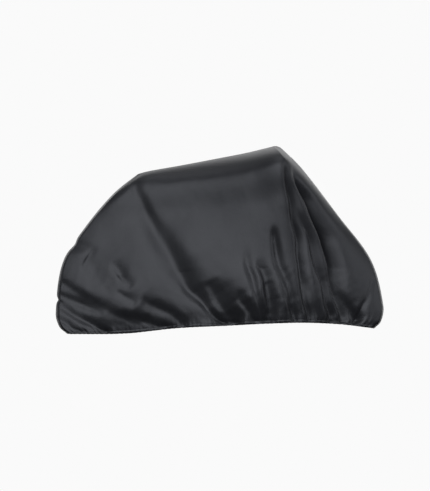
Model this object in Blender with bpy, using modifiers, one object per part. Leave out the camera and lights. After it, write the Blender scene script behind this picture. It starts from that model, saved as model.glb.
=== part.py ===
"""A bicycle cover of thin nylon, as it hangs over a standing bicycle with an elastic drawn through its hem.

It is cut as two side panels, right and left, which are sewn together along one seam. The seam runs up
behind the rear wheel, over the saddle and the handlebar, and down in front of the front wheel. The hem is
turned up on the panels themselves. The bicycle is left out, so the cover is hollow and open underneath.

Metres. +X is the way the bicycle rides, +Z is up, and the origin is the middle of the hem's opening at
the level of its lowest edge. Half-widths are measured sideways from the seam's plane, y = 0.
"""

import math
from collections import namedtuple

import bmesh
import bpy
import numpy as np

CLOTH_THICKNESS = 0.002  # the hanging cloth with its fine crumple, as one sheet
SEAM_GAP = 0.0004  # left open between the two panels along the seam
COLUMNS = 150  # along each panel, from the rear seam to the front seam, before the sheet is thinned out
ROWS = 80  # up each panel, from the hem to the ridge
FACES_KEPT = 0.090  # share of the sheet's faces that are kept, fewest where the cloth lies smooth
END_CROWDING = 0.055  # how much closer the columns stand at the ends, where the cloth turns round a tyre
CLOTH_COLOUR = (0.050, 0.051, 0.057, 1.0)

# The cover's shape over the bicycle, one row for each place along it. Each level is (x, half-width, z).
# share is how far along the panel the place lies, from the rear seam, 0, to the front seam, 1.
LEVELS = ("hem", "turn", "belly", "waist", "chest", "shoulder", "ridge")
Section = namedtuple("Section", ("place", "share", *LEVELS))
SECTIONS = (
    Section("rear seam", 0.00, (-0.838, 0.000, 0.003), (-0.882, 0.000, 0.042), (-0.902, 0.000, 0.118),
            (-0.864, 0.000, 0.392), (-0.740, 0.000, 0.588), (-0.585, 0.000, 0.772), (-0.450, 0.000, 0.880)),
    Section("rear tyre", 0.025, (-0.820, 0.050, 0.002), (-0.862, 0.050, 0.043), (-0.882, 0.046, 0.121),
            (-0.846, 0.042, 0.393), (-0.724, 0.050, 0.588), (-0.577, 0.068, 0.770), (-0.443, 0.000, 0.8825)),
    Section("rear axle", 0.20, (-0.520, 0.085, 0.005), (-0.526, 0.100, 0.052), (-0.530, 0.130, 0.150),
            (-0.510, 0.130, 0.380), (-0.465, 0.115, 0.630), (-0.425, 0.105, 0.838), (-0.380, 0.000, 0.898)),
    Section("saddle nose", 0.36, (-0.240, 0.145, 0.034), (-0.244, 0.155, 0.083), (-0.250, 0.170, 0.182),
            (-0.245, 0.190, 0.410), (-0.230, 0.155, 0.660), (-0.216, 0.150, 0.852), (-0.210, 0.000, 0.928)),
    Section("cranks", 0.50, (0.000, 0.190, 0.046), (0.000, 0.195, 0.094), (0.000, 0.230, 0.192),
            (0.000, 0.225, 0.430), (0.000, 0.210, 0.680), (-0.008, 0.200, 0.880), (-0.020, 0.000, 0.964)),
    Section("down tube", 0.63, (0.240, 0.205, 0.058), (0.243, 0.228, 0.108), (0.245, 0.266, 0.224),
            (0.235, 0.252, 0.450), (0.208, 0.260, 0.712), (0.172, 0.252, 0.918), (0.140, 0.000, 0.995)),
    Section("grip", 0.76, (0.455, 0.180, 0.064), (0.468, 0.188, 0.112), (0.475, 0.210, 0.222),
            (0.420, 0.240, 0.480), (0.362, 0.284, 0.766), (0.318, 0.297, 0.962), (0.270, 0.000, 1.026)),
    Section("brake lever", 0.88, (0.655, 0.088, 0.056), (0.690, 0.094, 0.098), (0.706, 0.105, 0.200),
            (0.618, 0.155, 0.470), (0.486, 0.225, 0.758), (0.380, 0.270, 0.952), (0.303, 0.000, 1.0335)),
    Section("front tyre", 0.975, (0.828, 0.050, 0.036), (0.866, 0.048, 0.075), (0.881, 0.045, 0.158),
            (0.815, 0.048, 0.409), (0.638, 0.080, 0.658), (0.434, 0.112, 0.926), (0.330, 0.000, 1.0262)),
    Section("front seam", 1.00, (0.846, 0.000, 0.033), (0.883, 0.000, 0.071), (0.897, 0.000, 0.155),
            (0.830, 0.000, 0.405), (0.650, 0.000, 0.650), (0.445, 0.000, 0.916), (0.343, 0.000, 1.0155)),
)

# The main folds, as troughs that run down their paths, given as (x, z) in millimetres seen from the side.
# Beside the path each trough reaches rear_mm to the rear and front_mm to the front, and it is depth_mm
# deep, each as values spread evenly along the path. A fold deepens from nothing over fade_mm at its head.
RIGHT, LEFT, BOTH = -1, 1, 0
MM = 0.001
Fold = namedtuple("Fold", "name side path rear_mm front_mm depth_mm fade_mm", defaults=(50,))
FOLDS = (
    Fold("saddle drag", RIGHT, ((-486, 880), (-446, 770), (-389, 640), (-310, 505), (-230, 350), (-145, 218),
         (-48, 130), (15, 60)), (25, 80, 90, 70, 50), (12, 20, 38, 64, 80), (12, 22, 40, 44, 20)),
    Fold("crank hollow", RIGHT, ((-75, 310), (-25, 220), (15, 160), (95, 60)), (20, 30, 30, 70),
         (45, 80, 85, 28), (0, 28, 44, 36), 40),
    Fold("crank crease", RIGHT, ((-130, 275), (-85, 200), (-25, 130), (25, 70)), (20, 30, 30), (40, 45, 30),
         (4, 20, 16), 40),
    Fold("crank gather", RIGHT, ((105, 265), (115, 200), (145, 140), (200, 65)), (15, 20, 20), (30, 30, 30),
         (0, 26, 14), 40),
    Fold("thin gather", RIGHT, ((136, 475), (150, 410), (165, 345), (182, 285), (206, 215), (240, 70)),
         (20, 28, 30, 20), (14, 13, 13, 14), (4, 20, 21, 12), 60),
    Fold("frame gather", RIGHT, ((198, 425), (212, 390), (232, 340), (250, 280), (262, 200), (270, 70)),
         (18, 28, 45, 40), (28, 32, 26, 18), (10, 28, 34, 32), 60),
    Fold("chain stay gather", RIGHT, ((268, 310), (285, 220), (295, 140), (298, 70)), (15, 18, 12),
         (25, 32, 14), (8, 22, 14), 40),
    Fold("under grip gather", RIGHT, ((320, 290), (345, 230), (380, 180), (405, 120), (415, 70)),
         (10, 18, 12), (18, 25, 18), (2, 8, 16), 40),
    Fold("short grip drop", RIGHT, ((292, 592), (296, 520), (308, 450), (324, 380), (354, 310), (386, 230),
         (400, 150), (410, 70)), (20, 26, 32, 28, 24), (16, 18, 22, 22, 16), (14, 24, 22, 26, 14), 40),
    Fold("rear grip drop", RIGHT, ((358, 970), (368, 800), (384, 680), (400, 580), (418, 450), (428, 330),
         (450, 220), (485, 70)), (20, 18, 16, 16, 18), (24, 28, 28, 24, 18), (10, 36, 46, 40, 28), 60),
    Fold("middle grip drop", RIGHT, ((440, 690), (455, 620), (478, 550), (500, 470), (518, 390), (550, 300),
         (578, 185), (612, 70)), (14, 14, 16, 20), (20, 22, 24, 22), (6, 28, 34, 28), 60),
    Fold("front grip drop", RIGHT, ((402, 940), (421, 870), (444, 790), (480, 680), (514, 580), (548, 470),
         (584, 370), (612, 250), (668, 70)), (26, 17, 16, 16, 18), (18, 26, 42, 32, 20),
         (6, 48, 72, 50, 30), 60),
    Fold("wheel gather", RIGHT, ((636, 420), (645, 350), (655, 250), (685, 180), (740, 70)), (16, 25, 40),
         (30, 24, 26), (4, 8, 30), 60),
    Fold("upper wheel drag", RIGHT, ((-935, 318), (-870, 284), (-800, 238), (-730, 190), (-660, 148),
         (-600, 115), (-520, 82), (-440, 60)), (30, 120, 110, 50, 60), (12, 18, 24, 28, 20),
         (8, 14, 20, 14, 4)),
    Fold("lower wheel drag", RIGHT, ((-935, 182), (-860, 148), (-800, 112), (-730, 75), (-670, 42),
         (-620, 10)), (40, 45, 40, 20), (16, 30, 30, 24), (5, 20, 26, 18)),
    Fold("rear tuck", RIGHT, ((-930, 105), (-855, 65), (-800, 30), (-735, 10)), (14, 30, 16), (20, 25, 10),
         (6, 14, 5)),
    Fold("low drag", RIGHT, ((-560, 105), (-470, 92), (-400, 70), (-330, 50), (-260, 25)), (20, 45, 50),
         (14, 20, 26), (4, 18, 16), 60),
    Fold("belly drag", RIGHT, ((-450, 190), (-400, 172), (-330, 140), (-250, 98), (-190, 60)),
         (30, 80, 80, 45), (30, 25, 20, 22), (4, 20, 18, 16)),
    Fold("tyre crinkle", RIGHT, ((-602, 390), (-570, 360), (-535, 318), (-490, 275)), (18, 20, 30),
         (22, 25, 18), (12, 18, 6), 26),
    Fold("rear step", BOTH, ((-900, 492), (-796, 486), (-740, 474), (-690, 456)), (18, 20, 17), (22, 24, 18),
         (28, 22, 5)),
    Fold("tyre notch", BOTH, ((-965, 200), (-900, 190), (-846, 180)), (11, 13, 12), (12, 14, 12),
         (17, 15, 1)),
)
VALLEY = 1.6  # 1 is a sharp valley between the folds' round backs, 2 is a round one
VALLEY_ROUND = 0.004  # how wide the very bottom of a valley is
SEAM_QUIET = 0.045  # folds on one side only die out this far from the seam


def hermite(knots, values, at):
    """A smooth curve through the values at the knots, read at other places. The end knots only steer it."""
    slopes = (values[2:] - values[:-2]) / (knots[2:] - knots[:-2])[:, None]
    knots, values = knots[1:-1], values[1:-1]
    span = np.clip(np.searchsorted(knots, at, side="right") - 1, 0, len(knots) - 2)
    width = (knots[span + 1] - knots[span])[:, None]
    t = (at[:, None] - knots[span][:, None]) / width
    from_start = (1 + 2 * t) * (1 - t) ** 2
    from_end = t * t * (3 - 2 * t)
    start_slope = t * (1 - t) ** 2 * width
    end_slope = t * t * (t - 1) * width
    return (from_start * values[span] + from_end * values[span + 1]
            + start_slope * slopes[span] + end_slope * slopes[span + 1])


def across_seam(points):
    """The same points on the other side of the seam's plane."""
    return points * (1.0, -1.0, 1.0)


def section_line(section, rows):
    """rows + 1 points up one section, from the hem to the ridge, evenly spaced along the cloth."""
    levels = np.array([getattr(section, level) for level in LEVELS])
    below_hem = 2 * levels[:1] - levels[1:2]
    levels = np.vstack([below_hem, levels, across_seam(levels[-2:-1])])
    knots = np.concatenate([[0.0], np.cumsum(np.linalg.norm(np.diff(levels, axis=0), axis=1))])
    fine = hermite(knots, levels, np.linspace(knots[1], knots[-2], 400))
    along = np.concatenate([[0.0], np.cumsum(np.linalg.norm(np.diff(fine, axis=0), axis=1))])
    wanted = np.linspace(0.0, along[-1], rows + 1)
    return np.stack([np.interp(wanted, along, fine[:, axis]) for axis in range(3)], axis=1)


def smooth_panel():
    """The panel without its folds, on the +Y side, as points[column, row]."""
    share = np.linspace(0.0, 1.0, COLUMNS + 1)
    share = share - END_CROWDING * np.sin(2 * math.pi * share)
    lines = np.array([section_line(section, ROWS) for section in SECTIONS])
    places = np.array([section.share for section in SECTIONS])
    lines = np.concatenate([across_seam(lines[1:2]), lines, across_seam(lines[-2:-1])])
    places = np.concatenate([[-places[1]], places, [2 - places[-2]]])
    flat = hermite(places, lines.reshape(len(lines), -1), share)
    return flat.reshape(COLUMNS + 1, ROWS + 1, 3)


def outward(points):
    """The direction out of the cloth at each point of a panel on the +Y side."""
    beyond = np.pad(points, ((1, 1), (1, 1), (0, 0)), mode="edge")
    beyond[0, 1:-1], beyond[-1, 1:-1] = across_seam(points[1]), across_seam(points[-2])
    beyond[1:-1, -1] = across_seam(points[:, -2])
    along = beyond[2:, 1:-1] - beyond[:-2, 1:-1]
    up = beyond[1:-1, 2:] - beyond[1:-1, :-2]
    normal = np.cross(up, along)
    normal[[0, -1], -1] = normal[[0, -1], -2]  # the ends of the ridge, where no cloth lies along it
    return normal / np.linalg.norm(normal, axis=2, keepdims=True)


def smoothstep(t):
    t = np.clip(t, 0.0, 1.0)
    return t * t * (3 - 2 * t)


def even_values(values, share):
    return np.interp(share, np.linspace(0.0, 1.0, len(values)), values)


def run_lengths(points):
    return np.concatenate([[0.0], np.cumsum(np.linalg.norm(np.diff(points, axis=0), axis=1))])


def fold_line(fold):
    """The fold's lowest line as 64 points (x, z) in metres, evenly spaced."""
    path = np.array(fold.path, float) * MM
    path = np.vstack([2 * path[0] - path[1], path, 2 * path[-1] - path[-2]])
    knots = run_lengths(path)
    fine = hermite(knots, path, np.linspace(knots[1], knots[-2], 300))
    along = run_lengths(fine)
    wanted = np.linspace(0.0, along[-1], 64)
    return np.stack([np.interp(wanted, along, fine[:, axis]) for axis in range(2)], axis=1)


def beside(line, x, z):
    """Where places lie beside a line: their share along it, how far past its ends, how far to its front."""
    start, way = line[:-1], np.diff(line, axis=0)
    length = np.linalg.norm(way, axis=1)
    way = way / length[:, None]
    off = np.stack([x, z], axis=-1)[:, None, :] - start[None]
    ahead = (off * way).sum(axis=2)
    held = np.clip(ahead, 0.0, length)
    nearest = np.linalg.norm(off - held[:, :, None] * way, axis=2).argmin(axis=1)
    pick = np.arange(len(x)), nearest
    aside = off[pick][:, 1] * way[nearest, 0] - off[pick][:, 0] * way[nearest, 1]
    share = (nearest + held[pick] / length[nearest]) / len(length)
    return share, np.abs(ahead[pick] - held[pick]), aside


def trough(fold, x, z):
    """How far one fold pushes the cloth in, in metres, at places seen from the side."""
    line = fold_line(fold)
    share, past, aside = beside(line, x.ravel(), z.ravel())
    rear, front = (MM * even_values(reach, share) for reach in (fold.rear_mm, fold.front_mm))
    q = np.sqrt(aside ** 2 + VALLEY_ROUND ** 2) / np.where(aside < 0, rear, front)
    length = run_lengths(line)[-1]
    fade = smoothstep(share * length / (fold.fade_mm * MM) + 0.05) * np.exp(-((past / (0.6 * front)) ** 2))
    return (MM * even_values(fold.depth_mm, share) * np.exp(-q ** VALLEY) * fade).reshape(x.shape)


def left_hand(fold):
    """The left panel's own version of a fold of the right panel: no two hang quite alike."""
    chance = np.random.default_rng(2000 + fold.path[0][0])
    path = np.array(fold.path, float)
    path[:, 0] += 16 * np.sin(0.008 * path[:, 0] + 1.0) + chance.uniform(-8, 8)
    wider, shallower = chance.uniform(0.9, 1.25), chance.uniform(0.6, 1.05)
    rear, front = wider * np.array(fold.rear_mm), wider * np.array(fold.front_mm)
    return fold._replace(side=LEFT, path=path, rear_mm=rear, front_mm=front,
                         depth_mm=shallower * np.array(fold.depth_mm))


def folded_panel(side):
    """The panel on one side of the seam with its folds pressed in, as points[column, row]."""
    points = smooth_panel()
    x, width, z = np.moveaxis(points, 2, 0)
    quiet = smoothstep(width / SEAM_QUIET)
    push = np.zeros_like(x)
    for fold in FOLDS:
        if fold.side == RIGHT and side == LEFT:
            fold = left_hand(fold)
        if fold.side in (side, BOTH):
            push += trough(fold, x, z) * (1.0 if fold.side == BOTH else quiet)
    level_outward = outward(points) * (1.0, 1.0, 0.0)
    level_outward[:, :, 0] *= smoothstep((np.abs(level_outward[:, :, 0]) - 0.5) / 0.35)
    points = points - push[:, :, None] * level_outward
    points[[0, -1], :, 1] = 0.0
    points[:, -1, 1] = 0.0
    return points * (1.0, side, 1.0)


def cloth_sheet():
    """Both panels in one sheet, lofted from hem to ridge and joined along the seam."""
    mesh = bpy.data.meshes.new("cover_sheet")
    sheet = bmesh.new()
    seam = {}

    def vertex(column, row, place):
        on_seam = row == ROWS or column in (0, COLUMNS)
        if not on_seam:
            return sheet.verts.new(place)
        if (column, row) not in seam:
            seam[column, row] = sheet.verts.new(place)
        return seam[column, row]

    for side in (RIGHT, LEFT):
        points = folded_panel(side)
        grid = [[vertex(c, r, points[c, r]) for r in range(ROWS + 1)] for c in range(COLUMNS + 1)]
        for c in range(COLUMNS):
            for r in range(ROWS):
                corners = [grid[c][r], grid[c + 1][r], grid[c + 1][r + 1], grid[c][r + 1]]
                sheet.faces.new(corners if side == RIGHT else corners[::-1])
    sheet.to_mesh(mesh)
    sheet.free()
    return mesh


def half_space(name, side, cutters):
    """A box that holds everything on one side of the seam's plane, less half the seam's gap."""
    bpy.ops.mesh.primitive_cube_add(size=2.0, location=(0.0, side * (1.0 + SEAM_GAP / 2), 0.5))
    box = bpy.context.object
    box.name = name
    box.hide_render = True
    box.display_type = "WIRE"
    for collection in box.users_collection:
        collection.objects.unlink(box)
    cutters.objects.link(box)
    return box


def cloth_material():
    material = bpy.data.materials.new("black_nylon")
    material.use_nodes = True
    surface = material.node_tree.nodes["Principled BSDF"]
    surface.inputs["Base Color"].default_value = CLOTH_COLOUR
    surface.inputs["Roughness"].default_value = 0.5
    surface.inputs["Metallic"].default_value = 0.0
    return material


def side_panel(name, side, sheet, material, cover, cutters):
    """One panel: the sheet given its thickness inwards, and cut off at the seam."""
    panel = bpy.data.objects.new(name, sheet.copy())
    cover.objects.link(panel)
    panel.data.materials.append(material)
    thin_out = panel.modifiers.new("fewer_faces", "DECIMATE")
    thin_out.ratio = FACES_KEPT
    thicken = panel.modifiers.new("thickness", "SOLIDIFY")
    thicken.thickness = CLOTH_THICKNESS
    thicken.offset = -1.0
    cut = panel.modifiers.new("seam", "BOOLEAN")
    cut.operation = "INTERSECT"
    cut.solver = "EXACT"
    cut.object = half_space(name + "_half_space", side, cutters)
    panel.data.shade_smooth()
    return panel


def new_collection(name):
    collection = bpy.data.collections.new(name)
    bpy.context.scene.collection.children.link(collection)
    return collection


def main():
    for obj in list(bpy.data.objects):
        bpy.data.objects.remove(obj)
    cover = new_collection("bicycle_cover")
    cutters = new_collection("cutters")
    sheet = cloth_sheet()
    material = cloth_material()
    side_panel("panel_right", RIGHT, sheet, material, cover, cutters)
    side_panel("panel_left", LEFT, sheet, material, cover, cutters)


main()
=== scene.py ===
"""A bicycle cover of thin black nylon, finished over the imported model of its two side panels."""

import math
from collections import namedtuple

import bpy
import numpy as np
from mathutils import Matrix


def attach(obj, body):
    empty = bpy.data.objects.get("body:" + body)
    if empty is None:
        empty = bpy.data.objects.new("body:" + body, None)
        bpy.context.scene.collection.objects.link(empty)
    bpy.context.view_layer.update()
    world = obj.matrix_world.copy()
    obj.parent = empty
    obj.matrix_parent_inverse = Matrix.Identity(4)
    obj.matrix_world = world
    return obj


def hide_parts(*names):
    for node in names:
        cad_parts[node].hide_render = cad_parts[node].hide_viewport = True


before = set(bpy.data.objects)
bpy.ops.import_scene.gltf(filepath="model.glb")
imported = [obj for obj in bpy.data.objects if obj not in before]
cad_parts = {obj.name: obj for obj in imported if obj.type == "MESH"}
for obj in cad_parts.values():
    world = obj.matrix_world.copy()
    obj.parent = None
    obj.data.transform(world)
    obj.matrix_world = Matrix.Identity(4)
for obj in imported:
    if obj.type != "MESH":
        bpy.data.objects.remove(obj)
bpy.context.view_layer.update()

# ------------------------------------------------------------------------------------------------
# The two side panels, the cut. Each is one piece of coated nylon, laid from the hem up to the seam
# over the ridge. The bicycle under it gives the shape: tyres, saddle, handlebar and cranks.
# ------------------------------------------------------------------------------------------------
RIGHT, LEFT, BOTH = -1, 1, 0
MM = 0.001
COLUMNS = 360  # along a panel, from the seam behind the rear wheel to the seam before the front wheel
END_CROWDING = 0.050  # how much closer the columns stand at the ends, where the cloth turns round a tyre
Band = namedtuple("Band", "top_mm step_mm")
HEM_BANDS = (Band(24, 3), Band(330, 5.6))  # height above the hem edge, and the rows' spacing up to it
UPPER_ROWS = 48  # the rows above those, evenly up to the seam's lap
SEAM_ROWS_MM = (14.0, 9.0, 7.0, 5.6, 3.2, 0.0)  # the last rows, by their distance from the seam
CURVE_POINTS = 600  # on a section's curve, before its rows are spaced along it

# The cover without its folds, one row for each place along it. Each level is (x, half-width, z), and
# share is how far along the panel the place lies.
LEVELS = ("hem", "turn", "belly", "waist", "chest", "shoulder", "ridge")
Section = namedtuple("Section", ("place", "share", *LEVELS))
SECTIONS = (
    Section("rear seam", 0.00, (-0.838, 0.000, 0.003), (-0.882, 0.000, 0.042), (-0.902, 0.000, 0.118),
            (-0.864, 0.000, 0.392), (-0.740, 0.000, 0.588), (-0.585, 0.000, 0.772), (-0.450, 0.000, 0.880)),
    Section("rear tyre", 0.025, (-0.820, 0.050, 0.002), (-0.862, 0.050, 0.043), (-0.882, 0.046, 0.121),
            (-0.846, 0.042, 0.393), (-0.724, 0.050, 0.588), (-0.577, 0.068, 0.770), (-0.443, 0.000, 0.8825)),
    Section("rear axle", 0.20, (-0.520, 0.085, 0.005), (-0.526, 0.100, 0.052), (-0.530, 0.130, 0.150),
            (-0.510, 0.130, 0.380), (-0.465, 0.115, 0.630), (-0.425, 0.105, 0.838), (-0.380, 0.000, 0.898)),
    Section("saddle nose", 0.36, (-0.240, 0.145, 0.034), (-0.244, 0.155, 0.083), (-0.250, 0.170, 0.182),
            (-0.245, 0.190, 0.410), (-0.230, 0.155, 0.660), (-0.216, 0.150, 0.852), (-0.210, 0.000, 0.928)),
    Section("cranks", 0.50, (0.000, 0.190, 0.046), (0.000, 0.195, 0.094), (0.000, 0.230, 0.192),
            (0.000, 0.225, 0.430), (0.000, 0.210, 0.680), (-0.008, 0.200, 0.880), (-0.020, 0.000, 0.964)),
    Section("down tube", 0.63, (0.240, 0.205, 0.058), (0.243, 0.228, 0.108), (0.245, 0.266, 0.224),
            (0.235, 0.252, 0.450), (0.208, 0.260, 0.712), (0.172, 0.252, 0.918), (0.140, 0.000, 0.995)),
    Section("grip", 0.76, (0.455, 0.180, 0.064), (0.468, 0.188, 0.112), (0.475, 0.210, 0.222),
            (0.420, 0.240, 0.480), (0.362, 0.284, 0.766), (0.318, 0.297, 0.962), (0.270, 0.000, 1.026)),
    Section("brake lever", 0.88, (0.655, 0.088, 0.056), (0.690, 0.094, 0.098), (0.706, 0.105, 0.200),
            (0.618, 0.155, 0.470), (0.486, 0.225, 0.758), (0.380, 0.270, 0.952), (0.303, 0.000, 1.0335)),
    Section("front tyre", 0.975, (0.828, 0.050, 0.036), (0.866, 0.048, 0.075), (0.881, 0.045, 0.158),
            (0.815, 0.048, 0.409), (0.638, 0.080, 0.658), (0.434, 0.112, 0.926), (0.330, 0.000, 1.0262)),
    Section("front seam", 1.00, (0.846, 0.000, 0.033), (0.883, 0.000, 0.071), (0.897, 0.000, 0.155),
            (0.830, 0.000, 0.405), (0.650, 0.000, 0.650), (0.445, 0.000, 0.916), (0.343, 0.000, 1.0155)),
)


def eased(t):
    """0 below 0 and 1 above 1, with a smooth rise between."""
    t = np.clip(t, 0.0, 1.0)
    return t * t * (3 - 2 * t)


def smooth_through(knots, values, at):
    """A smooth curve through the values at the knots, read at other places. The end knots only steer it."""
    slopes = (values[2:] - values[:-2]) / (knots[2:] - knots[:-2])[:, None]
    knots, values = knots[1:-1], values[1:-1]
    span = np.clip(np.searchsorted(knots, at, side="right") - 1, 0, len(knots) - 2)
    width = (knots[span + 1] - knots[span])[:, None]
    t = (at[:, None] - knots[span][:, None]) / width
    return ((1 + 2 * t) * (1 - t) ** 2 * values[span] + t * t * (3 - 2 * t) * values[span + 1]
            + t * (1 - t) ** 2 * width * slopes[span] + t * t * (t - 1) * width * slopes[span + 1])


def run_lengths(points):
    """How far along a line each of its points lies, from 0 at the first."""
    return np.concatenate([[0.0], np.cumsum(np.linalg.norm(np.diff(points, axis=0), axis=1))])


def other_side(points):
    """The same points across the seam's plane."""
    return points * (1.0, -1.0, 1.0)


def row_heights(full_height):
    """The rows' places up the cloth from the hem edge: close at the hem, wider above the gathers."""
    heights = [0.0]
    for band in HEM_BANDS:
        steps = round((band.top_mm * MM - heights[-1]) / (band.step_mm * MM))
        heights += list(np.linspace(heights[-1], band.top_mm * MM, steps + 1)[1:])
    heights += list(np.linspace(heights[-1], full_height - SEAM_ROWS_MM[0] * MM, UPPER_ROWS + 1)[1:])
    return np.array(heights + [full_height - gap * MM for gap in SEAM_ROWS_MM[1:]])


def section_line(section):
    """The points up one section, one for each row from the hem edge to the seam."""
    levels = np.array([getattr(section, level) for level in LEVELS])
    below_hem = 2 * levels[:1] - levels[1:2]
    levels = np.vstack([below_hem, levels, other_side(levels[-2:-1])])
    knots = run_lengths(levels)
    fine = smooth_through(knots, levels, np.linspace(knots[1], knots[-2], CURVE_POINTS))
    up = run_lengths(fine)
    wanted = row_heights(up[-1])
    return np.stack([np.interp(wanted, up, fine[:, axis]) for axis in range(3)], axis=1)


def smooth_panel():
    """A panel without its folds, on the +Y side, as points[column, row]."""
    share = np.linspace(0.0, 1.0, COLUMNS + 1)
    share = share - END_CROWDING * np.sin(2 * math.pi * share)
    lines = np.array([section_line(section) for section in SECTIONS])
    places = np.array([section.share for section in SECTIONS])
    lines = np.concatenate([other_side(lines[1:2]), lines, other_side(lines[-2:-1])])
    places = np.concatenate([[-places[1]], places, [2 - places[-2]]])
    flat = smooth_through(places, lines.reshape(len(lines), -1), share)
    return flat.reshape(COLUMNS + 1, -1, 3)


def outward(points):
    """The direction out of the cloth at each point of a panel on the +Y side."""
    beyond = np.pad(points, ((1, 1), (1, 1), (0, 0)), mode="edge")
    beyond[0, 1:-1], beyond[-1, 1:-1] = other_side(points[1]), other_side(points[-2])
    beyond[1:-1, -1] = other_side(points[:, -2])
    along = beyond[2:, 1:-1] - beyond[:-2, 1:-1]
    up = beyond[1:-1, 2:] - beyond[1:-1, :-2]
    normal = np.cross(up, along)
    normal[[0, -1], -1] = normal[[0, -1], -2]  # the ends of the ridge, where no cloth lies along it
    return normal / np.linalg.norm(normal, axis=2, keepdims=True)


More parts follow.
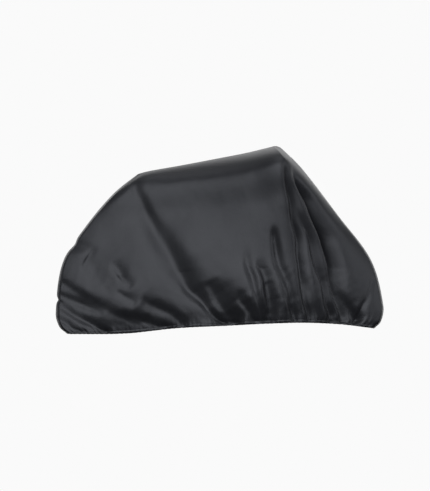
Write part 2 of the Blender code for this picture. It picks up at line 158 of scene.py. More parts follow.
# ------------------------------------------------------------------------------------------------
# The folds of the hanging cloth. The elastic pulls the hem in under the tyres and the cranks, so the
# cloth drags from the saddle to the cranks, drops from the grip, and gathers all along the hem.
# ------------------------------------------------------------------------------------------------
# A fold is a trough along path, whose points are (x, z) in mm seen from the side. It reaches rear_mm
# and front_mm to the two sides of its lowest line and is depth_mm deep, each given at even places along
# it, and it deepens from nothing over fade_mm at its head.
Fold = namedtuple("Fold", "name side path rear_mm front_mm depth_mm fade_mm", defaults=(50,))
FOLDS = (
    Fold("saddle drag", RIGHT, ((-486, 880), (-446, 770), (-389, 640), (-310, 505), (-230, 350), (-145, 218),
         (-48, 130), (15, 60)), (25, 80, 90, 70, 50), (12, 20, 38, 64, 80), (12, 22, 40, 44, 20)),
    Fold("crank hollow", RIGHT, ((-75, 310), (-25, 220), (15, 160), (95, 60)), (20, 30, 30, 70),
         (45, 80, 85, 28), (0, 28, 44, 36), 40),
    Fold("crank crease", RIGHT, ((-130, 275), (-85, 200), (-25, 130), (25, 70)), (20, 30, 30), (40, 45, 30),
         (4, 20, 16), 40),
    Fold("crank gather", RIGHT, ((105, 265), (115, 200), (145, 140), (200, 65)), (15, 20, 20), (30, 30, 30),
         (0, 26, 14), 40),
    Fold("thin gather", RIGHT, ((136, 475), (150, 410), (165, 345), (182, 285), (206, 215), (240, 70)),
         (20, 28, 30, 20), (14, 13, 13, 14), (4, 20, 21, 12), 60),
    Fold("frame gather", RIGHT, ((198, 425), (212, 390), (232, 340), (250, 280), (262, 200), (270, 70)),
         (18, 28, 45, 40), (28, 32, 26, 18), (10, 28, 34, 32), 60),
    Fold("chain stay gather", RIGHT, ((268, 310), (285, 220), (295, 140), (298, 70)), (15, 18, 12),
         (25, 32, 14), (8, 22, 14), 40),
    Fold("under grip gather", RIGHT, ((320, 290), (345, 230), (380, 180), (405, 120), (415, 70)),
         (10, 18, 12), (18, 25, 18), (2, 8, 16), 40),
    Fold("short grip drop", RIGHT, ((292, 592), (296, 520), (308, 450), (324, 380), (354, 310), (386, 230),
         (400, 150), (410, 70)), (20, 26, 32, 28, 24), (16, 18, 22, 22, 16), (14, 24, 22, 26, 14), 40),
    Fold("rear grip drop", RIGHT, ((358, 970), (368, 800), (384, 680), (400, 580), (418, 450), (428, 330),
         (450, 220), (485, 70)), (20, 18, 16, 16, 18), (24, 28, 28, 24, 18), (10, 36, 46, 40, 28), 60),
    Fold("handlebar gather", RIGHT, ((476, 310), (484, 270), (512, 195), (545, 70)), (10, 12, 10),
         (12, 12, 16), (2, 8, 12), 40),
    Fold("middle grip drop", RIGHT, ((440, 690), (455, 620), (478, 550), (500, 470), (518, 390), (550, 300),
         (578, 185), (612, 70)), (14, 14, 16, 20), (20, 22, 24, 22), (6, 28, 34, 28), 60),
    Fold("front grip drop", RIGHT, ((402, 940), (421, 870), (444, 790), (480, 680), (514, 580), (548, 470),
         (584, 370), (612, 250), (668, 70)), (26, 17, 16, 16, 18), (18, 26, 42, 32, 20),
         (6, 48, 72, 50, 30), 60),
    Fold("wheel gather", RIGHT, ((636, 420), (645, 350), (655, 250), (685, 180), (740, 70)), (16, 25, 40),
         (30, 24, 26), (4, 8, 30), 60),
    Fold("front corner tuck", RIGHT, ((838, 320), (830, 260), (812, 205), (775, 145), (752, 85)),
         (10, 12, 10), (10, 14, 16), (3, 6, 12), 40),
    Fold("upper wheel drag", RIGHT, ((-935, 318), (-870, 284), (-800, 238), (-730, 190), (-660, 148),
         (-600, 115), (-520, 82), (-440, 60)), (30, 120, 110, 50, 60), (12, 18, 24, 28, 20),
         (8, 14, 20, 14, 4)),
    Fold("second wheel drag", RIGHT, ((-935, 238), (-870, 218), (-800, 192), (-740, 168), (-650, 130)),
         (30, 45, 40, 30), (10, 15, 20, 14), (5, 13, 18, 4)),
    Fold("lower wheel drag", RIGHT, ((-935, 182), (-860, 148), (-800, 112), (-730, 75), (-670, 42),
         (-620, 10)), (40, 45, 40, 20), (16, 30, 30, 24), (5, 20, 26, 18)),
    Fold("rear tuck", RIGHT, ((-930, 105), (-855, 65), (-800, 30), (-735, 10)), (14, 30, 16), (20, 25, 10),
         (6, 14, 5)),
    Fold("low drag", RIGHT, ((-560, 105), (-470, 92), (-400, 70), (-330, 50), (-260, 25)), (20, 45, 50),
         (14, 20, 26), (4, 18, 16), 60),
    Fold("belly drag", RIGHT, ((-450, 190), (-400, 172), (-330, 140), (-250, 98), (-190, 60)),
         (30, 80, 80, 45), (30, 25, 20, 22), (4, 20, 18, 16)),
    Fold("tyre crinkle", RIGHT, ((-602, 390), (-570, 360), (-535, 318), (-490, 275)), (18, 20, 30),
         (22, 25, 18), (12, 18, 6), 26),
    Fold("low crinkle", RIGHT, ((-578, 243), (-530, 215), (-474, 182)), (20, 30, 30), (14, 16, 30),
         (5, 10, 8), 26),
    Fold("step tuck", RIGHT, ((-690, 485), (-715, 435), (-742, 390)), (12, 12, 12), (15, 20, 40),
         (2, 6, 10), 30),
    Fold("tyre hollow", RIGHT, ((-740, 470), (-700, 400), (-680, 330), (-640, 270)), (60, 60, 60),
         (90, 90, 80), (4, 18, 6), 60),
    Fold("rear step", BOTH, ((-900, 492), (-796, 486), (-740, 474), (-690, 456)), (18, 20, 17), (22, 24, 18),
         (28, 22, 5)),
    Fold("tyre notch", BOTH, ((-965, 200), (-900, 190), (-846, 180)), (11, 13, 12), (12, 14, 12),
         (17, 15, 1)),
)
VALLEY = 1.6  # 1 is a sharp valley between the folds' round backs, 2 is a round one
VALLEY_ROUND = 0.0030  # how wide the very bottom of a valley is
OVERHANG = 0.7  # how far a valley lies back under the cloth behind it, as a share of its depth
UPRIGHT_BELOW = 0.06  # nearer to the hem than this, a valley stands ever more upright
FOLD_MARGIN = 3.2  # a fold still moves cloth this many of its own widths from its line
HEAD_START = 0.05  # how far a fold's rise is already begun at its head
FOOT_FADE = 0.6  # past its ends a fold dies out over this share of its front width
PATH_CURVE_POINTS, PATH_POINTS = 300, 64  # on a path's curve, and on the line spaced along it
STIFFNESS = 2  # how many times the pushes are evened out between neighbours, for the coating's body
SEAM_QUIET = 0.045  # folds on one side only die out this far from the seam
WANDER, WANDER_PITCH = 0.002, 0.20  # how far the folds stray from their paths, and how slowly
WAVES_CLOSER = (0.7, 1.4)  # how many times closer than its pitch the waves of an uneven surface stand
CRUMPLE_SEED, GATHER_SEED, WANDER_SEED, LEFT_SEED = 7, 11, 40, 2000
END_FACING, END_EASE = 0.25, 0.35  # only cloth that faces this much along the bicycle is pushed along it


def even_values(values, share):
    """Values that stand at even places along a path, read at shares of its length."""
    return np.interp(share, np.linspace(0.0, 1.0, len(values)), values)


def fold_line(fold):
    """The fold's lowest line as points (x, z) in metres, evenly spaced."""
    path = np.array(fold.path, float) * MM
    path = np.vstack([2 * path[0] - path[1], path, 2 * path[-1] - path[-2]])
    knots = run_lengths(path)
    fine = smooth_through(knots, path, np.linspace(knots[1], knots[-2], PATH_CURVE_POINTS))
    along = run_lengths(fine)
    wanted = np.linspace(0.0, along[-1], PATH_POINTS)
    return np.stack([np.interp(wanted, along, fine[:, axis]) for axis in range(2)], axis=1)


def beside(line, x, z):
    """Where places lie beside a line: their share along it, how far past its ends and to its front, and
    which way the line runs there."""
    start, way = line[:-1], np.diff(line, axis=0)
    length = np.linalg.norm(way, axis=1)
    way = way / length[:, None]
    off = np.stack([x, z], axis=-1)[:, None, :] - start[None]
    ahead = (off * way).sum(axis=2)
    held = np.clip(ahead, 0.0, length)
    gap = np.linalg.norm(off - held[:, :, None] * way, axis=2)
    nearest = gap.argmin(axis=1)
    pick = np.arange(len(x)), nearest
    aside = off[pick][:, 1] * way[nearest, 0] - off[pick][:, 0] * way[nearest, 1]
    share = (nearest + held[pick] / length[nearest]) / len(length)
    past = np.abs(ahead[pick] - held[pick])
    return share, past, aside, way[nearest]


def press_fold(fold, x, z):
    """How far a fold pushes the cloth in, and then moves it along x and z, at places seen from the side."""
    line = fold_line(fold)
    moved = np.zeros((3, *x.shape))
    margin = FOLD_MARGIN * MM * max(*fold.rear_mm, *fold.front_mm)
    near = ((x > line[:, 0].min() - margin) & (x < line[:, 0].max() + margin)
            & (z > line[:, 1].min() - margin) & (z < line[:, 1].max() + margin))
    share, past, aside, way = beside(line, x[near], z[near])
    rear, front = (MM * even_values(reach, share) for reach in (fold.rear_mm, fold.front_mm))
    length = run_lengths(line)[-1]
    fade = eased(share * length / (fold.fade_mm * MM) + HEAD_START)
    fade *= np.exp(-((past / (FOOT_FADE * front)) ** 2))
    depth = MM * even_values(fold.depth_mm, share) * fade
    above_hem = z[near] - np.interp(x[near], HEM_LINE[:, 0], HEM_LINE[:, 2])
    lean = OVERHANG * eased(above_hem / UPRIGHT_BELOW) * (fold.side != BOTH)
    aside -= lean * depth  # so that the valley comes to lie on its path
    q = np.sqrt(aside ** 2 + VALLEY_ROUND ** 2) / np.where(aside < 0, rear, front)
    push = depth * np.exp(-q ** VALLEY)
    moved[:, near] = push, lean * push * way[:, 1], -lean * push * way[:, 0]
    return moved


# The gathers along the hem are short folds that the elastic draws up. They lean as the cloth above is
# pulled: back under the rear wheel, nearly upright under the handlebar, forward round the front wheel.
Lean = namedtuple("Lean", "x lean reach_mm spacing_mm depth_mm")
GATHERS = (
    Lean(-0.86, -1.6, 60, 34, 2), Lean(-0.60, -1.5, 90, 34, 2), Lean(-0.30, -1.2, 90, 36, 2),
    Lean(0.00, -0.6, 110, 30, 3), Lean(0.20, -0.32, 150, 28, 3), Lean(0.45, -0.2, 170, 26, 3),
    Lean(0.66, -0.12, 120, 28, 3), Lean(0.80, 0.5, 80, 30, 2),
)
FIRST_GATHER, LAST_GATHER = -0.84, 0.80
GATHERS_APART, GATHERS_TALL, GATHERS_DEEP = (0.6, 1.4), (0.5, 1.3), (0.5, 1.2)  # times those values
GATHERS_WIDE_MM = (7, 11)
GATHER_FOOT_MM, GATHER_STRAY_MM = 6, 4  # how far below the hem they run on, and how far aside they bend
HEM_LINE = np.array([section.hem for section in SECTIONS])


def gather_folds(side, seed):
    """The short folds of one panel's hem, spread unevenly from the rear tyre to the front tyre."""
    chance = np.random.default_rng(seed)
    columns = {name: np.array([getattr(row, name) for row in GATHERS]) for name in Lean._fields}
    x, folds = FIRST_GATHER, []
    while x < LAST_GATHER:
        here = (np.interp(x, columns["x"], columns[name]) for name in Lean._fields[1:])
        lean, reach, spacing, depth = here
        foot_z = 1000 * np.interp(x, HEM_LINE[:, 0], HEM_LINE[:, 2])
        tall = reach * chance.uniform(*GATHERS_TALL)
        depth *= chance.uniform(*GATHERS_DEEP)
        foot = (1000 * x, foot_z - GATHER_FOOT_MM)
        stray = chance.uniform(-GATHER_STRAY_MM, GATHER_STRAY_MM)
        knee = (1000 * x + 0.45 * tall * lean + stray, foot_z + 0.5 * tall)
        head = (1000 * x + tall * lean, foot_z + tall)
        width = chance.uniform(*GATHERS_WIDE_MM)
        folds.append(Fold("gather", side, (head, knee, foot), (width, width, width),
                          (width, 1.3 * width, 1.2 * width), (0.3 * depth, depth, depth), 30))
        x += MM * spacing * chance.uniform(*GATHERS_APART)
    return folds


def slow_waves(chance, x, z, pitch, stretch=1.0, turn=0.0, waves=22):
    """A smooth uneven surface of about unit height, with bumps about pitch apart, longer along turn."""
    spin = chance.uniform(0, 2 * math.pi, waves)
    size = chance.uniform(*WAVES_CLOSER, waves) * 2 * math.pi / pitch
    start = chance.uniform(0, 2 * math.pi, waves)
    along, across = np.cos(spin) * size / stretch, np.sin(spin) * size
    kx = along * math.cos(turn) - across * math.sin(turn)
    kz = along * math.sin(turn) + across * math.cos(turn)
    total = sum(np.cos(a * x + b * z + c) for a, b, c in zip(kx, kz, start))
    return total * math.sqrt(2 / waves)


Ripples = namedtuple("Ripples", "pitch stretch turn height_mm")
SWELLS = Ripples(0.30, 2.0, -1.1, 1.2)
CREASES = (Ripples(0.13, 1.6, -0.9, 0.35), Ripples(0.10, 1.6, 0.6, 0.35))
CREASE_BREADTH = 0.8
FINE_RIPPLES = Ripples(0.045, 1.8, -0.8, 0.10)


def crumple(x, z, seed):
    """How far the cloth stands out of its smooth hang, in metres: slow swells and creases from packing."""
    chance = np.random.default_rng(seed)
    total = SWELLS.height_mm * slow_waves(chance, x, z, *SWELLS[:3])
    for row in CREASES:
        total += row.height_mm * (1.0 - np.abs(slow_waves(chance, x, z, *row[:3])) / CREASE_BREADTH)
    return MM * (total + FINE_RIPPLES.height_mm * slow_waves(chance, x, z, *FINE_RIPPLES[:3]))


def softened(push):
    """The pushes evened out over the panel, since coated cloth can't take a bend of no radius."""
    for _ in range(STIFFNESS):
        for axis in (0, 1):
            ends = [(1, 1) if way == axis else (0, 0) for way in range(2)]
            wide = np.moveaxis(np.pad(push, ends, mode="edge"), axis, 0)
            push = np.moveaxis((wide[:-2] + 2 * wide[1:-1] + wide[2:]) / 4, 0, axis)
    return push


LEFT_SWAY_MM, LEFT_SHIFT_MM = 16, 8
LEFT_WIDER, LEFT_SHALLOWER = (0.9, 1.25), (0.6, 1.05)


def left_hand(fold):
    """The left panel's own version of a fold of the right panel: no two hang quite alike."""
    chance = np.random.default_rng(LEFT_SEED + fold.path[0][0])
    path = np.array(fold.path, float)
    sway = LEFT_SWAY_MM * np.sin(0.008 * path[:, 0] + 1.0)
    path[:, 0] += sway + chance.uniform(-LEFT_SHIFT_MM, LEFT_SHIFT_MM)
    wider, shallower = chance.uniform(*LEFT_WIDER), chance.uniform(*LEFT_SHALLOWER)
    rear, front = wider * np.array(fold.rear_mm), wider * np.array(fold.front_mm)
    return fold._replace(side=LEFT, path=path, rear_mm=rear, front_mm=front,
                         depth_mm=shallower * np.array(fold.depth_mm))


def folded_panel(side):
    """The panel on one side of the seam with its folds, gathers and crumple, as points[column, row]."""
    points = smooth_panel()
    x, width, z = (points[:, :, axis].ravel() for axis in range(3))
    quiet = eased(width / SEAM_QUIET)
    chance = np.random.default_rng(WANDER_SEED + side)
    wander_x, wander_z = (WANDER * slow_waves(chance, x, z, WANDER_PITCH) for _ in range(2))
    moved = np.zeros((3, x.size))
    moved[0] = -crumple(x, z, CRUMPLE_SEED + side) * quiet
    folds = [left_hand(fold) if fold.side == RIGHT and side == LEFT else fold for fold in FOLDS]
    for fold in (*folds, *gather_folds(side, GATHER_SEED + side)):
        if fold.side in (side, BOTH):
            held = 1.0 if fold.side == BOTH else quiet
            moved += press_fold(fold, x + wander_x, z + wander_z) * held
    level_outward = (outward(points) * (1.0, 1.0, 0.0)).reshape(-1, 3)
    level_outward[:, 0] *= eased((np.abs(level_outward[:, 0]) - END_FACING) / END_EASE)
    push, along_x, along_z = (softened(part.reshape(points.shape[:2])) for part in moved)
    points = points - push[:, :, None] * level_outward.reshape(points.shape)
    points[:, :, 0] += along_x
    points[:, :, 2] += along_z
    points[[0, -1], :, 1] = 0.0
    points[:, -1, 1] = 0.0
    return points


# ------------------------------------------------------------------------------------------------
# The hem. Each panel's edge is turned up inside and sewn down as a casing round the elastic, which
# draws it up, so that the casing puckers all the way round the opening.
# ------------------------------------------------------------------------------------------------
CASING_MM = 18  # from the hem edge up to the sewn line
CASING_SWELL = 0.0022  # how far the elastic fills the casing out
SEWN_DENT, SEWN_DENT_WIDE_MM = 0.0009, 1.6
TurnedRow = namedtuple("TurnedRow", "height_mm inside_mm")
TURNED_EDGE = (TurnedRow(21, 2.8), TurnedRow(18, 2.8), TurnedRow(12, 5.2), TurnedRow(6, 5.2),
               TurnedRow(3, 4.6), TurnedRow(0, 2.2))
TURNED_LOWER = 0.0008  # how far the fold of the turned edge hangs below the cloth outside it
PUCKER_OUT, PUCKER_DOWN = 0.0022, 0.0008
PUCKER_REACH_OUT, PUCKER_REACH_DOWN = 0.035, 0.014  # how far up the cloth the puckers carry
PUCKER_WIDTH_MM = (9, 17)
PUCKER_SIZE = (0.35, 1.0)
PUCKER_SEEDS = (21, 31)  # for the waves outward and down
ROWS_OVER_CASING = 30  # as far as the casing and its puckers reach up


def puckers(along, seed):
    """The elastic's uneven waves along the hem, between about -1 and 1."""
    chance = np.random.default_rng(seed)
    knots, waves = [0.0], [0.0]
    while knots[-1] < along[-1]:
        knots.append(knots[-1] + chance.uniform(*PUCKER_WIDTH_MM) * MM)
        waves.append((-1) ** len(knots) * chance.uniform(*PUCKER_SIZE))
    knots, waves = np.array(knots), np.array(waves)
    before = np.clip(np.searchsorted(knots, along, side="right") - 1, 0, len(knots) - 2)
    t = eased((along - knots[before]) / (knots[before + 1] - knots[before]))
    return waves[before] * (1 - t) + waves[before + 1] * t


def hem_row(height_mm):
    """The number of the row at a height up the casing."""
    return round(height_mm / HEM_BANDS[0].step_mm)


def hemmed(points, side):
    """A folded panel with its puckered casing, and its turned-up edge as rows before the first."""
    heights = row_heights(1.0)[None, :, None]
    heights[:, hem_row(HEM_BANDS[0].top_mm) + ROWS_OVER_CASING:] = 1.0
    level_outward = outward(points) * (1.0, 1.0, 0.0)
    quiet = eased(points[:, :, 1:2] / SEAM_QUIET)
    along = run_lengths(points[:, 0])
    out, down = (puckers(along, seed + side)[:, None, None] for seed in PUCKER_SEEDS)
    swell = CASING_SWELL * np.sin(math.pi * np.clip(heights / (CASING_MM * MM), 0.0, 1.0))
    dent = SEWN_DENT * np.exp(-((heights / MM - CASING_MM) / SEWN_DENT_WIDE_MM) ** 2)
    ripple = PUCKER_OUT * out * np.exp(-heights / PUCKER_REACH_OUT) * quiet
    points = points + (swell - dent + ripple) * level_outward
    points[:, :, 2:] += PUCKER_DOWN * down * np.exp(-heights / PUCKER_REACH_DOWN) * quiet
    turned = []
    for row in TURNED_EDGE:
        level = hem_row(row.height_mm)
        turned.append(points[:, level] - row.inside_mm * MM * level_outward[:, level])
    turned[-1][:, 2] -= TURNED_LOWER
    return np.concatenate([np.stack(turned, axis=1), points], axis=1)


# ------------------------------------------------------------------------------------------------
# The centre seam, from the hem behind the rear wheel over the ridge to the hem before the front wheel.
# The two panels' edges are lapped and felled, so the cloth stands a little proud for 5 mm each side.
# ------------------------------------------------------------------------------------------------
LAP_HALF_WIDTH, LAP_EDGE, LAP_RISE = 0.0052, 0.0016, 0.0013
SEAM_GAP = 0.00015  # from the seam's plane to the edge of each panel


def lapped(points):
    """A panel with the felled seam's rise along its ends and its top."""
    inner = points[:, len(TURNED_EDGE):]
    rise = LAP_RISE * (1 - eased((inner[:, :, 1:2] - LAP_HALF_WIDTH) / LAP_EDGE))
    inner += rise * outward(inner)
    points[:, :, 1] = np.maximum(points[:, :, 1], SEAM_GAP)
    return points


# ------------------------------------------------------------------------------------------------
# The nylon: a plain weave of fine yarn, dyed black and coated inside. It has a soft broad shine, is
# rubbed a little paler in patches, and keeps fine crinkles from its bag.
# ------------------------------------------------------------------------------------------------
class Wire:
    """A shader socket that takes part in sums as a number does."""

    tree = None

    def __init__(self, socket):
        self.socket = socket

    @classmethod
    def node(cls, kind, settings=None, output=0, **inputs):
        """One output of a new node. Its inputs go by their names, or by _ and their numbers."""
        made = cls.tree.nodes.new(kind)
        for name, value in (settings or {}).items():
            setattr(made, name, value)
        for name, value in inputs.items():
            place = int(name[1:]) if name[0] == "_" else name.replace("_", " ")
            if isinstance(value, Wire):
                cls.tree.links.new(value.socket, made.inputs[place])
            else:
                made.inputs[place].default_value = value
        return cls(made.outputs[output])

    def sum(self, operation, other, swap=False):
        first, second = (other, self) if swap else (self, other)
        return Wire.node("ShaderNodeMath", {"operation": operation}, _0=first, _1=second)

    def __add__(self, other):
        return self.sum("ADD", other)

    def __radd__(self, other):
        return self.sum("ADD", other, True)

    def __sub__(self, other):
        return self.sum("SUBTRACT", other)

    def __rsub__(self, other):
        return self.sum("SUBTRACT", other, True)

    def __mul__(self, other):
        return self.sum("MULTIPLY", other)

    def __rmul__(self, other):
        return self.sum("MULTIPLY", other, True)


CLOTH_DARK = (0.0098, 0.0103, 0.0125, 1.0)
CLOTH_RUBBED = (0.0185, 0.0195, 0.0230, 1.0)
CLOTH_SHINE = (0.89, 0.92, 1.0, 1.0)
YARN = 0.0006  # metres from one yarn to the next
WAVE_RADIANS = 20  # how far a wave texture of scale 1 turns in a metre


def nylon():
    """The panels' material: the weave and the crinkles are relief, and a mottle and dust vary the black."""
    material = bpy.data.materials.new("black_nylon")
    material.use_nodes = True
    Wire.tree = material.node_tree
    surface = Wire.tree.nodes["Principled BSDF"]
    place = Wire.node("ShaderNodeTexCoord", output=3)
    mottle = Wire.node("ShaderNodeTexNoise", Vector=place, Scale=9.0, Detail=4.0, Roughness=0.6)
    dust = Wire.node("ShaderNodeTexNoise", Vector=place, Scale=55.0, Detail=3.0, Roughness=0.65)
    crinkle = Wire.node("ShaderNodeTexNoise", Vector=place, Scale=38.0, Detail=3.0, Roughness=0.55,
                        Distortion=0.6)
    weave_scale = 2 * math.pi / YARN / WAVE_RADIANS
    across, upright = (Wire.node("ShaderNodeTexWave", {"wave_type": "BANDS", "bands_direction": way},
                                 Vector=place, Scale=weave_scale, Distortion=0.3) for way in "XZ")
    weave = across * upright
    rubbed = Wire.node("ShaderNodeMath", {"operation": "SMOOTH_MIN"}, _0=(mottle * 1.2 - 0.25) + dust * 0.25,
                       _1=1.0, _2=0.1)
    colour = Wire.node("ShaderNodeMix", {"data_type": "RGBA"}, output=2, _0=rubbed, _6=CLOTH_DARK,
                       _7=CLOTH_RUBBED)
    Wire.tree.links.new(colour.socket, surface.inputs["Base Color"])
    Wire.tree.links.new((0.38 + mottle * 0.12 + weave * 0.04).socket, surface.inputs["Roughness"])
    relief = Wire.node("ShaderNodeBump", Strength=0.3, Distance=0.0015, Height=crinkle)
    yarns = Wire.node("ShaderNodeBump", Strength=0.10, Distance=0.0002, Height=weave, Normal=relief)
    Wire.tree.links.new(yarns.socket, surface.inputs["Normal"])
    surface.inputs["Metallic"].default_value = 0.0
    surface.inputs["Specular Tint"].default_value = CLOTH_SHINE
    surface.inputs["Specular IOR Level"].default_value = 0.5
    surface.inputs["Sheen Weight"].default_value = 0.04
    surface.inputs["Sheen Roughness"].default_value = 0.4
    return material


CLOTH_THICKNESS = 0.0012
black_nylon = nylon()


def cloth_panel(name, node, side, finished):
    """One panel as a sheet of faces, given its thickness inwards, standing for its CAD node."""
    points = finished * (1.0, side, 1.0)
    columns, rows = points.shape[:2]
    corner = np.arange(columns * rows).reshape(columns, rows)
    faces = np.stack([corner[:-1, :-1], corner[1:, :-1], corner[1:, 1:], corner[:-1, 1:]], axis=-1)
    faces = faces.reshape(-1, 4)
    mesh = bpy.data.meshes.new(name)
    mesh.from_pydata(points.reshape(-1, 3), [], faces if side == RIGHT else faces[:, ::-1])
    mesh.shade_smooth()
    mesh.materials.append(black_nylon)
    panel = bpy.data.objects.new(name, mesh)
    bpy.context.scene.collection.objects.link(panel)
    thicken = panel.modifiers.new("cloth_thickness", "SOLIDIFY")
    thicken.thickness = CLOTH_THICKNESS
    thicken.offset = -1.0
    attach(panel, "root")
    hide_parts(node)


# ------------------------------------------------------------------------------------------------
# The sewing: lockstitch in black polyester thread, one row along each hem casing and one beside each
# panel's edge of the centre seam. Each stitch lies on the cloth and dips into it at both ends.
# ------------------------------------------------------------------------------------------------
STITCH_LONG, STITCH_GAP, THREAD = 0.0042, 0.0014, 0.00045
SEAM_ROW = 0.0034  # the seam's stitch row, from the seam
SEAM_COLUMNS, SEAM_TOP_ROWS = 40, 8  # how much of a panel's ends and top is searched for that row
HEM_ENDS, TOP_ENDS = 3, 4  # the columns at each end that those rows leave bare
# One stitch, as rings of points: how far along it, how thick and how high, in half stitches and threads.
StitchRing = namedtuple("StitchRing", "along thick lift")
STITCH_RINGS = (StitchRing(-1.0, 0.4, -0.9), StitchRing(-0.8, 0.95, 0.1), StitchRing(0.0, 1.1, 0.55),
                StitchRing(0.8, 0.95, 0.1), StitchRing(1.0, 0.4, -0.9))
THREAD_SIDES = 6
THREAD_DARK = (0.006, 0.006, 0.008, 1.0)
THREAD_PALE = (0.022, 0.023, 0.027, 1.0)


def thread_black():
    """Polyester thread, its plies wound round it, with a little fuzz."""
    material = bpy.data.materials.new("black_thread")
    material.use_nodes = True
    Wire.tree = material.node_tree
    surface = Wire.tree.nodes["Principled BSDF"]
    place = Wire.node("ShaderNodeTexCoord", output=3)
    ply = Wire.node("ShaderNodeTexWave", {"wave_type": "BANDS", "bands_direction": "DIAGONAL"}, Vector=place,
                    Scale=160.0, Distortion=0.5)
    fuzz = Wire.node("ShaderNodeTexNoise", Vector=place, Scale=900.0, Detail=2.0)
    colour = Wire.node("ShaderNodeMix", {"data_type": "RGBA"}, output=2, _0=ply * 0.7 + fuzz * 0.3,
                       _6=THREAD_DARK, _7=THREAD_PALE)
    Wire.tree.links.new(colour.socket, surface.inputs["Base Color"])
    Wire.tree.links.new((0.42 + fuzz * 0.2).socket, surface.inputs["Roughness"])
    twist = Wire.node("ShaderNodeBump", Strength=0.5, Distance=0.0001, Height=ply)
    Wire.tree.links.new(twist.socket, surface.inputs["Normal"])
    surface.inputs["Specular IOR Level"].default_value = 0.45
    return material


black_thread = thread_black()


def seam_row(points, normals):
    """The line that lies SEAM_ROW from the seam, given lines of points that each start on the seam."""
    rows = []
    for line, facing in zip(points, normals):
        reach = np.maximum.accumulate(line[:, 1])
        rows.append([[np.interp(SEAM_ROW, reach, part[:, axis]) for axis in range(3)]
                     for part in (line, facing)])
    return np.array(rows)


def read_along(at, along, line):
    """The points of a line at places along it."""
    return np.stack([np.interp(at, along, line[:, axis]) for axis in range(3)], axis=1)


def stitched(row):
    """The stitches along a row of (point, normal) pairs, as points[stitch, ring, side of the thread]."""
    line, facing = row[:, 0], row[:, 1]
    along = run_lengths(line)
    starts = np.arange(0.0, along[-1] - STITCH_LONG, STITCH_LONG + STITCH_GAP)
    tail, tip = read_along(starts, along, line), read_along(starts + STITCH_LONG, along, line)
    up = read_along(starts + STITCH_LONG / 2, along, facing)
    run = (tip - tail) / np.linalg.norm(tip - tail, axis=1, keepdims=True)
    up -= (up * run).sum(axis=1, keepdims=True) * run
    up /= np.linalg.norm(up, axis=1, keepdims=True)
    across = np.cross(run, up)
    turn = np.arange(THREAD_SIDES) * 2 * math.pi / THREAD_SIDES
    ring, thick, lift = (np.array(column)[None, :, None, None] for column in zip(*STITCH_RINGS))
    spoke = (np.cos(turn)[None, None, :, None] * across[:, None, None]
             + np.sin(turn)[None, None, :, None] * up[:, None, None])
    middle = ((tail + tip) / 2)[:, None, None] + ring * (tip - tail)[:, None, None] / 2
    return middle + THREAD * (thick * spoke + lift * up[:, None, None])


def sewn_rows(name, side, finished):
    """All of one panel's stitches as a single piece."""
    outer = finished[:, len(TURNED_EDGE):]
    facing = outward(outer)
    casing = hem_row(CASING_MM)
    hem = np.stack([outer[HEM_ENDS:-HEM_ENDS, casing], facing[HEM_ENDS:-HEM_ENDS, casing]], axis=1)
    end_rows = slice(casing + 1, -SEAM_TOP_ROWS)
    rear, front = (seam_row(outer[end, end_rows].swapaxes(0, 1), facing[end, end_rows].swapaxes(0, 1))
                   for end in (slice(SEAM_COLUMNS), slice(None, -SEAM_COLUMNS - 1, -1)))
    from_seam = slice(None, -SEAM_TOP_ROWS - 1, -1)
    top = seam_row(outer[TOP_ENDS:-TOP_ENDS, from_seam], facing[TOP_ENDS:-TOP_ENDS, from_seam])
    points = np.concatenate([stitched(row) for row in (hem, rear, top, front)]) * (1.0, side, 1.0)
    count, rings = points.shape[:2]
    corner = np.arange(points[..., 0].size).reshape(count, rings, THREAD_SIDES)
    turned = np.roll(corner, -1, axis=2)
    walls = np.stack([corner[:, :-1], turned[:, :-1], turned[:, 1:], corner[:, 1:]], axis=-1).reshape(-1, 4)
    ends = np.concatenate([corner[:, 0, ::-1], corner[:, -1]])
    if side == LEFT:
        walls, ends = walls[:, ::-1], ends[:, ::-1]
    mesh = bpy.data.meshes.new(name)
    mesh.from_pydata(points.reshape(-1, 3), [], walls.tolist() + ends.tolist())
    mesh.shade_smooth()
    mesh.materials.append(black_thread)
    stitches = bpy.data.objects.new(name, mesh)
    bpy.context.scene.collection.objects.link(stitches)
    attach(stitches, "root")
    return stitches


for side, hand in ((RIGHT, "right"), (LEFT, "left")):
    finished = lapped(hemmed(folded_panel(side), side))
    stitches = sewn_rows(hand + "_panel_stitching", side, finished)
    cloth_panel(hand + "_side_panel", "panel_" + hand, side, finished)

# ------------------------------------------------------------------------------------------------
# The studio: a pale floor at the height of the tyres' foot, a soft dome of light, wide lamps, and the
# camera at the right side of the bicycle, far off and level with the middle of the cover.
# ------------------------------------------------------------------------------------------------
FLOOR_Z = -0.127
FLOOR_FAR = 90.0
FLOOR_PALE = (0.80, 0.80, 0.80, 1.0)
FLOOR_GLOW = 0.55  # so that the floor is as pale as the dome behind it


def studio_floor():
    mesh = bpy.data.meshes.new("studio_floor")
    far = FLOOR_FAR
    mesh.from_pydata([(-far, -far, 0), (far, -far, 0), (far, far, 0), (-far, far, 0)], [], [(0, 1, 2, 3)])
    floor = bpy.data.objects.new("studio_floor", mesh)
    floor.location.z = FLOOR_Z
    material = bpy.data.materials.new("pale_floor")
    material.use_nodes = True
    surface = material.node_tree.nodes["Principled BSDF"]
    surface.inputs["Base Color"].default_value = FLOOR_PALE
    surface.inputs["Roughness"].default_value = 0.9
    surface.inputs["Specular IOR Level"].default_value = 0.0
    surface.inputs["Emission Color"].default_value = FLOOR_PALE
    surface.inputs["Emission Strength"].default_value = FLOOR_GLOW
    mesh.materials.append(material)
    bpy.context.scene.collection.objects.link(floor)
    floor.visible_glossy = False
    floor.visible_diffuse = False


studio_floor()

HORIZON = 0.956
OVERHEAD = 0.14


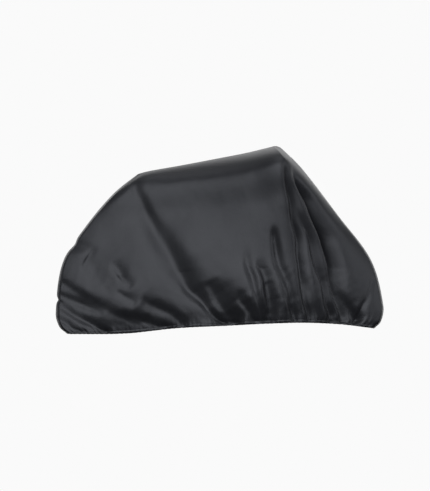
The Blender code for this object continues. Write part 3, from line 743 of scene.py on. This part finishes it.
def studio_dome():
    """Pale from a little below the horizon to a little above it, dim overhead and dark underneath."""
    world = bpy.data.worlds.new("studio_dome")
    bpy.context.scene.world = world
    world.use_nodes = True
    Wire.tree = world.node_tree
    background = Wire.tree.nodes["Background"]
    background.inputs["Color"].default_value = (1.0, 1.0, 1.0, 1.0)
    looking = Wire.node("ShaderNodeTexCoord", output=0)
    height = Wire.node("ShaderNodeSeparateXYZ", output=2, Vector=looking)
    smooth = {"interpolation_type": "SMOOTHSTEP"}
    pale = Wire.node("ShaderNodeMapRange", smooth, Value=height, From_Min=-0.11, From_Max=-0.06,
                     To_Min=0.02, To_Max=HORIZON)
    dimmed = Wire.node("ShaderNodeMapRange", smooth, Value=height, From_Min=0.01, From_Max=0.08,
                       To_Min=0.0, To_Max=HORIZON - OVERHEAD)
    Wire.tree.links.new((pale - dimmed).socket, background.inputs["Strength"])


studio_dome()

SoftLamp = namedtuple("SoftLamp", "name azimuth elevation spread strength")
SOFT_LAMPS = (
    SoftLamp("front_softbox", -9, 8, 66, 2.27),
    SoftLamp("right_side_softbox", 62, 8, 44, 0.60),
    SoftLamp("right_rear_softbox", 124, 8, 44, 0.34),
    SoftLamp("left_rear_softbox", -134, 8, 44, 0.30),
    SoftLamp("rear_softbox", 180, 10, 70, 1.2),
    SoftLamp("ceiling_softbox", 0, 85, 60, 0.65),
)


def studio_lamps():
    """Wide soft lamps. Azimuth 0 stands where the camera does, and 90 before the front wheel."""
    for row in SOFT_LAMPS:
        lamp = bpy.data.lights.new(row.name, "SUN")
        lamp.energy = row.strength
        lamp.angle = math.radians(row.spread)
        light = bpy.data.objects.new(row.name, lamp)
        light.rotation_euler = (math.radians(90 - row.elevation), 0.0, math.radians(row.azimuth))
        bpy.context.scene.collection.objects.link(light)


studio_lamps()

VIEW_CENTRE = (-0.0275, 0.0, 0.4884)
VIEW_HEIGHT = 2.7005
CAMERA_AWAY = 40.0


def studio_camera():
    lens = bpy.data.cameras.new("camera")
    lens.type = "ORTHO"
    lens.ortho_scale = VIEW_HEIGHT
    lens.clip_end = 400.0
    camera = bpy.data.objects.new("camera", lens)
    camera.location = (VIEW_CENTRE[0], -CAMERA_AWAY, VIEW_CENTRE[2])
    camera.rotation_euler = (math.radians(90), 0.0, 0.0)
    bpy.context.scene.collection.objects.link(camera)
    bpy.context.scene.camera = camera


studio_camera()
bpy.context.scene.view_settings.view_transform = "Standard"
